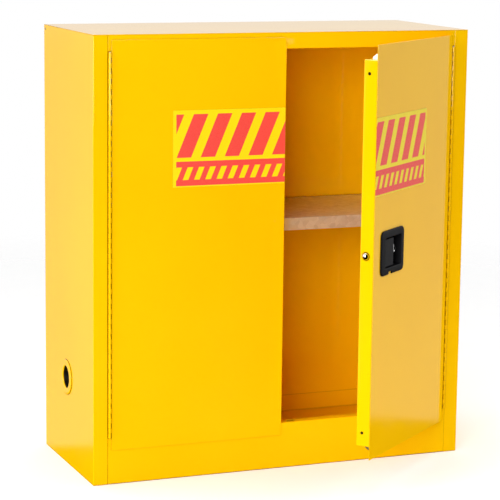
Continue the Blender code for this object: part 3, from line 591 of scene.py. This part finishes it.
def vents():
    """The bung fitting's rounded flange and threaded bore, and the flame arrester's screens in it."""
    for tag, side in (("left", -1), ("right", 1)):
        low, high = box_in(WORLD, f"vent_fitting_{tag}")
        centre = (low + high) / 2
        flange = (high.z - low.z) / 2
        outer = low.x if side < 0 else high.x
        inner = high.x if side < 0 else low.x
        # The fitting is turned about the hole's axis, with height counted outwards from the liner.
        space = Matrix.Translation((inner, centre.y, centre.z)) @ Matrix.Rotation(side * pi / 2, 4, "Y")
        depth = abs(outer - inner)
        sheet = depth - FLANGE_PROUD
        rim, lip = 0.0018, 0.0022
        profile = [(VENT_NECK, 0.0), (VENT_NECK, sheet - 0.0010), (VENT_NECK + 0.0006, sheet)]
        profile += [(flange - 0.0004, sheet)]
        profile += arc((flange - rim, depth - rim), rim, 0, 90, 6)
        profile += [(VENT_BORE + 0.0065, depth - 0.0001)]
        profile += arc((VENT_BORE + lip, depth - lip), lip, 90, 180, 6)
        for i in range(THREADS):
            top = depth - FIRST_THREAD - THREAD_PITCH * i
            profile += [(VENT_BORE + 0.0002, top), (VENT_BORE + 0.0011, top - THREAD_PITCH * 0.5)]
        profile += [(VENT_BORE + 0.0002, depth - FIRST_THREAD - THREAD_PITCH * THREADS), (VENT_BORE, 0.0)]
        name = f"vent_bung_{tag}"
        bm = lathe(profile, space, 64)
        piece(name, mesh_from(name, bm, 50), ENAMEL, "cabinet", WORLD,
              (f"vent_fitting_{tag}",))
        # A thin near-black steel sleeve lines the bore behind the painted lip; its dark tone is partly bare
        # steel and partly painted shade for the deep bore.
        outside, inside, top = VENT_BORE - 0.0002, VENT_BORE - 0.0008, depth - 0.0040
        sleeve = [(outside, 0.0), (outside, top), (inside, top), (inside, 0.0)]
        name = f"vent_bore_shade_sleeve_{tag}"
        piece(name, mesh_from(name, lathe(sleeve, space, 64)), BORE_STEEL_AND_SHADE, "cabinet")
        # A thin black ring between the flange and the side panel paints the dark line of shade in that seam.
        under, over = sheet - 0.00028, sheet - 0.00002
        inside, outside = flange - 0.004, flange + 0.0004
        seam = [(inside, under), (outside, under), (outside, over), (inside, over)]
        name = f"vent_seam_shade_ring_{tag}"
        piece(name, mesh_from(name, lathe(seam, space, 64)), BLACK, "cabinet")
        arrester(tag, side)


def arrester(tag, side):
    """A rim with a woven screen on each face and the crimped core between them."""
    low, high = box_in(WORLD, f"flame_arrester_{tag}")
    centre = (low + high) / 2
    radius = (high.z - low.z) / 2
    depth = high.x - low.x
    space = Matrix.Translation((centre.x, centre.y, centre.z)) @ Matrix.Rotation(side * pi / 2, 4, "Y")
    half = depth / 2
    rim = lathe([(radius - 0.0028, -half), (radius - 0.0005, -half), (radius, -half + 0.0005),
                 (radius, half - 0.0005), (radius - 0.0005, half), (radius - 0.0028, half)], space, 48)
    screens = [rim]
    count = int((radius - 0.003) / SCREEN_STEP)
    for face in (-half + 3 * SCREEN_WIRE, half - 3 * SCREEN_WIRE):
        for across in (0, 1):
            for k in range(-count, count + 1):
                place = k * SCREEN_STEP
                reach = sqrt((radius - 0.0015) ** 2 - place ** 2)
                bends = max(6, int(reach / SCREEN_STEP) * 4)
                path = []
                for i in range(bends + 1):
                    run = -reach + 2 * reach * i / bends
                    lift = SCREEN_WIRE * 0.9 * cos(pi * (run / SCREEN_STEP + k)) * (1 if across else -1)
                    flat = (run, place) if across else (place, run)
                    path.append(space @ Vector((*flat, face + lift)))
                screens.append(tube(path, SCREEN_WIRE, 5))
    name = f"arrester_screen_{tag}"
    piece(name, mesh_from(name, join(*screens), 60), ZINC, "cabinet", WORLD,
          (f"flame_arrester_{tag}",))
    core = []
    for i in range(1, CORE_RINGS):
        ring = (radius - 0.0030) * i / CORE_RINGS
        core.append(lathe([(ring - 0.0007, -half + 0.0016), (ring + 0.0007, -half + 0.0016),
                           (ring + 0.0007, half - 0.0016), (ring - 0.0007, half - 0.0016)], space, 36))
    disc, web = radius - 0.0029, 0.0006
    core.append(lathe([(0, -web), (disc, -web), (disc, web), (0, web)], space, 36))
    # The core's dark finish is partly painted shade for the deep bore.
    name = f"arrester_core_{tag}"
    piece(name, mesh_from(name, join(*core), 60), CORE, "cabinet")


def ground_stud():
    """The grounding screw: a slotted hexagon washer head on a toothed lock washer."""
    low, high = box_in(WORLD, "ground_screw")
    centre = (low + high) / 2
    space = Matrix.Translation((high.x, centre.y, centre.z)) @ Matrix.Rotation(-pi / 2, 4, "Y")
    radius = (high.z - low.z) / 2
    depth = high.x - low.x
    teeth = 14
    star = [((radius if i % 2 else radius * 0.86) * cos(pi * i / teeth),
             (radius if i % 2 else radius * 0.86) * sin(pi * i / teeth)) for i in range(2 * teeth)]
    washer = extruded(star, [], 0, depth * 0.2, space)
    flange = lathe([(0, depth * 0.2), (radius * 0.84, depth * 0.2), (radius * 0.84, depth * 0.3),
                    (0, depth * 0.4)], space, 32)
    hexagon = extruded(arc((0, 0), radius * 0.66, 0, 300, 5), [], depth * 0.32, depth, space)
    slot = block((-0.0006, -radius, depth * 0.68), (0.0006, radius, depth * 1.2))
    bmesh.ops.transform(slot, verts=slot.verts, matrix=space @ Matrix.Rotation(radians(25), 4, "Z"))
    head = cut(hexagon, slot)
    name = "ground_stud"
    stud = piece(name, mesh_from(name, join(washer, flange, head), 30), ZINC, "cabinet",
                 WORLD, ("ground_screw",))
    bevelled(stud, 0.00012)


# ---------------------------------------------------------------- handle
TUB_WALL = 0.0018
PLATE_DEPTH = 0.0035
FLANGE_CORNER = 0.0140
FLANGE_RIM = 0.0022
TUB_LIP = 0.0016
TUB_FILLET = 0.0020
HASP_NOTCH_HALF = 0.0105
HASP_NOTCH_PLACE = 0.405


def handle():
    """The recessed black handle: a rounded flange with a hasp notch, lofted down into its tub."""
    low, high = box_in(RIGHT_DOOR, "handle_bezel")
    paddle_low, paddle_high = box_in(RIGHT_DOOR, "paddle")
    barrel_low, barrel_high = box_in(RIGHT_DOOR, "lock_barrel")
    face, back = low.y, high.y
    tub_floor = back - TUB_WALL
    plate_back = face + PLATE_DEPTH
    # The tub's mouth, measured from the frame's paddle (its top and bottom) and the flange.
    mouth_low = Vector((low.x + 0.0240, paddle_low.z - 0.0040))
    mouth_high = Vector((high.x - 0.0180, paddle_high.z + 0.0040))
    flange_low, flange_high = Vector((low.x, low.z)), Vector((high.x, high.z))

    def ring(a, b, inset, radius, depth):
        low_corner = a + Vector((inset, inset))
        high_corner = b - Vector((inset, inset))
        return [Vector((u, depth, v)) for u, v in rounded_rectangle(low_corner, high_corner, radius)]

    mouth, flange = (mouth_low, mouth_high), (flange_low, flange_high)
    # Outside of the tub, from its floor up to the back of the flange.
    loops = [ring(*mouth, -TUB_WALL + 0.0012, 0.0030, back),
             ring(*mouth, -TUB_WALL, 0.0040, back - 0.0012),
             ring(*mouth, -TUB_WALL, 0.0040, plate_back)]
    # Flange: back, rounded rim, then a crowned face.
    loops.append(ring(*flange, 0.0002, FLANGE_CORNER - 0.0002, plate_back))
    loops.append(ring(*flange, 0.0, FLANGE_CORNER, plate_back - 0.0003))
    for i in range(6):
        turn = pi / 2 * i / 5
        inset = FLANGE_RIM * (1 - cos(turn))
        loops.append(ring(*flange, inset, FLANGE_CORNER - inset * 0.9,
                          face + 0.0002 + FLANGE_RIM * (1 - sin(turn))))
    loops.append(ring(*flange, 0.0060, 0.0090, face))
    loops.append(ring(*mouth, -0.0030, 0.0050, face))
    # Rounded lip into the tub, drafted walls and a filleted floor.
    for i in range(5):
        turn = pi / 2 * i / 4
        loops.append(ring(*mouth, -TUB_LIP * (1 - sin(turn)), 0.0035, face + TUB_LIP * (1 - cos(turn))))
    loops.append(ring(*mouth, 0.0003, 0.0035, tub_floor - TUB_FILLET))
    for i in range(1, 5):
        turn = pi / 2 * i / 4
        loops.append(ring(*mouth, 0.0003 + TUB_FILLET * (1 - cos(turn)), 0.0035 - 0.0012 * sin(turn),
                          tub_floor - TUB_FILLET + TUB_FILLET * sin(turn)))
    # The hasp's notch in the flange's lower edge.
    notch_x = low.x + (high.x - low.x) * HASP_NOTCH_PLACE
    notch = block((notch_x - HASP_NOTCH_HALF, face - 0.01, low.z - 0.01),
                  (notch_x + HASP_NOTCH_HALF, plate_back + 0.001, low.z + 0.0070))
    name = "handle_tub_black"
    mesh = mesh_from(name, cut(loft(loops), notch), 40)
    piece(name, mesh, BLACK, "right_door", RIGHT_DOOR, ("handle_bezel",))

    pin_low, pin_high = box_in(RIGHT_DOOR, "paddle_pin")
    middle = (pin_low + pin_high) / 2
    pin_piece("paddle_pivot_pin", "paddle_pin", "right_door", RIGHT_DOOR, (pin_high.x - pin_low.x) / 2,
              pin_low.z, pin_high.z, (middle.x, middle.y))
    torsion_spring(middle)
    lock(barrel_low, barrel_high)


def torsion_spring(middle):
    """The paddle's return spring: close coils round the pin, with a leg on each end."""
    low, high = box_in(RIGHT_DOOR, "paddle_spring")
    wire = 0.0005
    radius = (high.x - low.x) / 2 - wire
    turns, steps = 6, 20
    bottom, top = low.z + wire, high.z - wire
    coil = []
    for i in range(turns * steps + 1):
        turn = 2 * pi * i / steps
        coil.append(Vector((middle.x + radius * cos(turn), middle.y + radius * sin(turn),
                            bottom + (top - bottom) * i / (turns * steps))))
    path = [coil[0] + Vector((0, -0.0016, 0)), *coil, coil[-1] + Vector((0, 0.0030, 0))]
    name = "paddle_return_spring"
    piece(name, mesh_from(name, tube(path, wire, 8), 60), ZINC, "right_door", RIGHT_DOOR,
          ("paddle_spring",))


def lock(low, high):
    """The lock's polished barrel and its plug with a key slot."""
    centre = (low + high) / 2
    radius = (high.x - low.x) / 2
    space = Matrix.Translation((centre.x, high.y, centre.z)) @ Matrix.Rotation(pi / 2, 4, "X")
    depth = high.y - low.y
    bore = 0.0078
    ring = [(bore, 0.0), (radius - 0.0008, 0.0), (radius, 0.0008)]
    ring += arc((radius - 0.0014, depth - 0.0014), 0.0014, 0, 90, 6)
    ring += arc((bore + 0.0007, depth - 0.0007), 0.0007, 90, 180, 4)
    name = "lock_barrel_bright"
    piece(name, mesh_from(name, lathe(ring, space, 48)), CHROME, "right_door", RIGHT_DOOR,
          ("lock_barrel",))
    plug_low, plug_high = box_in(RIGHT_DOOR, "lock_plug")
    plug_radius = (plug_high.x - plug_low.x) / 2
    reach = plug_high.y - plug_low.y
    edge = 0.0006
    profile = [(0, 0), (plug_radius, 0), *arc((plug_radius - edge, reach - edge), edge, 0, 90, 4), (0, reach)]
    plug = lathe(profile, space, 48)
    slot = block((-0.0008, -0.0042, reach - 0.0060), (0.0008, 0.0042, reach + 0.002))
    bmesh.ops.transform(slot, verts=slot.verts, matrix=space)
    name = "lock_plug_bright"
    piece(name, mesh_from(name, cut(plug, slot), 30), CHROME, "lock_plug", RIGHT_DOOR,
          ("lock_plug",))


# ---------------------------------------------------------------- labels
def labels():
    """Thin printed films; one print runs across both doors when they are shut."""
    for tag, space in (("left", LEFT_DOOR), ("right", RIGHT_DOOR)):
        shut_x = -LEFT_DOOR.translation.x if tag == "right" else LEFT_DOOR.translation.x
        centred = space @ Matrix.Translation((-shut_x, 0, 0))
        low, high = box_in(centred, f"{tag}_label")
        outline = rounded_rectangle(Vector((low.x, low.z)), Vector((high.x, high.z)), 0.0025, 5)
        upright = Matrix(((1, 0, 0, 0), (0, 0, 1, 0), (0, 1, 0, 0), (0, 0, 0, 1)))
        bm = extruded(outline, [], low.y, high.y, upright)
        name = f"{tag}_hazard_label"
        piece(name, mesh_from(name, bm), LABEL, f"{tag}_door", centred, (f"{tag}_label",))


LABEL = label_film(*box_in(LEFT_DOOR @ Matrix.Translation((-LEFT_DOOR.translation.x, 0, 0)), "left_label"))

hinges()
vents()
ground_stud()
handle()
labels()

# ---------------------------------------------------------------- the frame's other nodes
SOFT_EDGES = {"side_panel": 0.0004, "top_panel": 0.0006, "front_sill": 0.0004, "top_rail": 0.0004,
              "left_door_skin": 0.0005, "right_door_skin": 0.0005, "paddle": 0.0007, "rod_tip": 0.0008,
              "guide": 0.0006, "shelf_standard": 0.0002}
stood_for = {name for thing in bpy.data.objects for name in thing.get("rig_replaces", [])}
for node in sorted(NODES):
    if node not in stood_for:
        slot = NODES[node].data.materials[0].name
        width = next((value for key, value in SOFT_EDGES.items() if key in node), 0.0003)
        refined(node, GRIP if node == "paddle" else FINISH_OF[slot], width)


# ---------------------------------------------------------------- stage, lights and camera
# The studio's brightness: by the sine of the height above the horizon, and by how far back the light
# comes from. Below the horizon's edge, which tilts a little with depth, nothing shines.
STUDIO_STRENGTH = 1.1
HORIZON_TILT = 0.0222
HORIZON_EDGE = (-0.2440, -0.2415)
HEIGHT_LIGHT = ((-1.0, 0.53), (-0.05, 0.54), (0.0, 0.95))
DEPTH_LIGHT = ((-0.25, 0.0), (0.10, 1.0), (0.9, 0.78))
LIT_POINT = (0.0, 0.0, 0.55)
CAMERA_PLACE = (-1.9906, -4.9418, 1.4568)
CAMERA_TURN = (80.233, -0.686, -21.737)
LENS = 146.6


def floor():
    """A pale floor that fades into the white background away from the object."""
    bm = bmesh.new()
    bmesh.ops.create_circle(bm, cap_ends=True, radius=5.0, segments=96)
    mesh = bpy.data.meshes.new("floor")
    bm.to_mesh(mesh)
    bm.free()
    ground = bpy.data.objects.new("floor", mesh)
    bpy.context.scene.collection.objects.link(ground)
    ground.location.z = -0.0005
    t = Tree("pale_floor")
    length = t.nodes.new("ShaderNodeVectorMath")
    length.operation = "LENGTH"
    t.links.new(t.coords, length.inputs[0])
    speck = t.span(t.noise(6.0, 4.0), 0.3, 0.7, 0.93, 0.95)
    tone = t.nodes.new("ShaderNodeCombineColor")
    for i in range(3):
        t.links.new(speck, tone.inputs[i])
    seen = t.nodes.new("ShaderNodeLightPath").outputs["Is Camera Ray"]
    t.set(Emission_Color=(1.0, 1.0, 1.0, 1.0), Emission_Strength=t.math("MULTIPLY", seen, 0.14))
    fade = t.span(length.outputs["Value"], 1.2, 3.6, 1.0, 0.0)
    t.set(Base_Color=tone.outputs["Color"], Roughness=0.9, Alpha=fade)
    mesh.materials.append(t.material)
    ground.visible_glossy = False


def studio():
    """A studio that is bright above and behind, and dark in front and below; the camera sees plain white."""
    world = bpy.data.worlds.new("studio")
    bpy.context.scene.world = world
    world.use_nodes = True
    nodes, links = world.node_tree.nodes, world.node_tree.links
    coords = nodes.new("ShaderNodeTexCoord").outputs["Generated"]
    split = nodes.new("ShaderNodeSeparateXYZ")
    links.new(coords, split.inputs[0])

    def ramp(value, stops):
        """A run of greys over a value from -1 to 1."""
        place = nodes.new("ShaderNodeMapRange")
        place.inputs["From Min"].default_value = -1.0
        place.inputs["From Max"].default_value = 1.0
        links.new(value, place.inputs["Value"])
        node = nodes.new("ShaderNodeValToRGB")
        band = node.color_ramp
        while len(band.elements) < len(stops):
            band.elements.new(0.5)
        for element, (position, grey) in zip(band.elements, stops):
            element.position = (position + 1) / 2
            element.color = (grey, grey, grey, 1.0)
        links.new(place.outputs["Result"], node.inputs["Fac"])
        return node.outputs["Color"]

    tilted = nodes.new("ShaderNodeMath")
    tilted.operation = "MULTIPLY_ADD"
    links.new(split.outputs["Y"], tilted.inputs[0])
    tilted.inputs[1].default_value = HORIZON_TILT
    links.new(split.outputs["Z"], tilted.inputs[2])
    by_height = ramp(tilted.outputs[0], HEIGHT_LIGHT)
    edge = nodes.new("ShaderNodeMapRange")
    edge.inputs["From Min"].default_value, edge.inputs["From Max"].default_value = HORIZON_EDGE
    links.new(tilted.outputs[0], edge.inputs["Value"])
    by_side = ramp(split.outputs["Y"], DEPTH_LIGHT)
    product = nodes.new("ShaderNodeMix")
    product.data_type = "RGBA"
    product.blend_type = "MULTIPLY"
    product.inputs["Factor"].default_value = 1.0
    links.new(by_height, product.inputs["A"])
    links.new(by_side, product.inputs["B"])
    light = nodes["Background"]
    strength = nodes.new("ShaderNodeMath")
    strength.operation = "MULTIPLY"
    links.new(edge.outputs["Result"], strength.inputs[0])
    strength.inputs[1].default_value = STUDIO_STRENGTH
    links.new(strength.outputs[0], light.inputs["Strength"])
    links.new(product.outputs["Result"], light.inputs["Color"])
    white = nodes.new("ShaderNodeBackground")
    white.inputs["Color"].default_value = (1.0, 1.0, 1.0, 1.0)
    path = nodes.new("ShaderNodeLightPath")
    either = nodes.new("ShaderNodeMixShader")
    links.new(path.outputs["Is Camera Ray"], either.inputs["Fac"])
    links.new(light.outputs["Background"], either.inputs[1])
    links.new(white.outputs["Background"], either.inputs[2])
    links.new(either.outputs["Shader"], nodes["World Output"].inputs["Surface"])


def softbox(name, place, size, power):
    """A square softbox that faces the middle of the cabinet."""
    data = bpy.data.lights.new(name, "AREA")
    data.shape = "RECTANGLE"
    data.size, data.size_y = size, size
    data.energy = power
    lamp = bpy.data.objects.new(name, data)
    bpy.context.scene.collection.objects.link(lamp)
    lamp.location = place
    lamp.rotation_euler = (Vector(place) - Vector(LIT_POINT)).to_track_quat("Z", "Y").to_euler()
    lamp.visible_camera = False


def camera():
    data = bpy.data.cameras.new("camera")
    data.sensor_width = 36.0
    data.lens = LENS
    view = bpy.data.objects.new("camera", data)
    bpy.context.scene.collection.objects.link(view)
    view.location = CAMERA_PLACE
    view.rotation_euler = Euler([radians(angle) for angle in CAMERA_TURN], "XYZ")
    bpy.context.scene.camera = view


floor()
studio()
softbox("key_light", (-2.81, -4.01, 1.59), 2.4, 162.0)
softbox("side_light", (-4.01, -1.62, 3.05), 2.4, 112.0)
softbox("fill_light", (4.47, -1.45, 2.26), 2.4, 96.0)
softbox("overhead_light", (0.3, -0.8, 5.2), 3.0, 50.0)
camera()
bpy.context.scene.view_settings.view_transform = "Standard"
bpy.context.scene.cycles.diffuse_bounces = 8
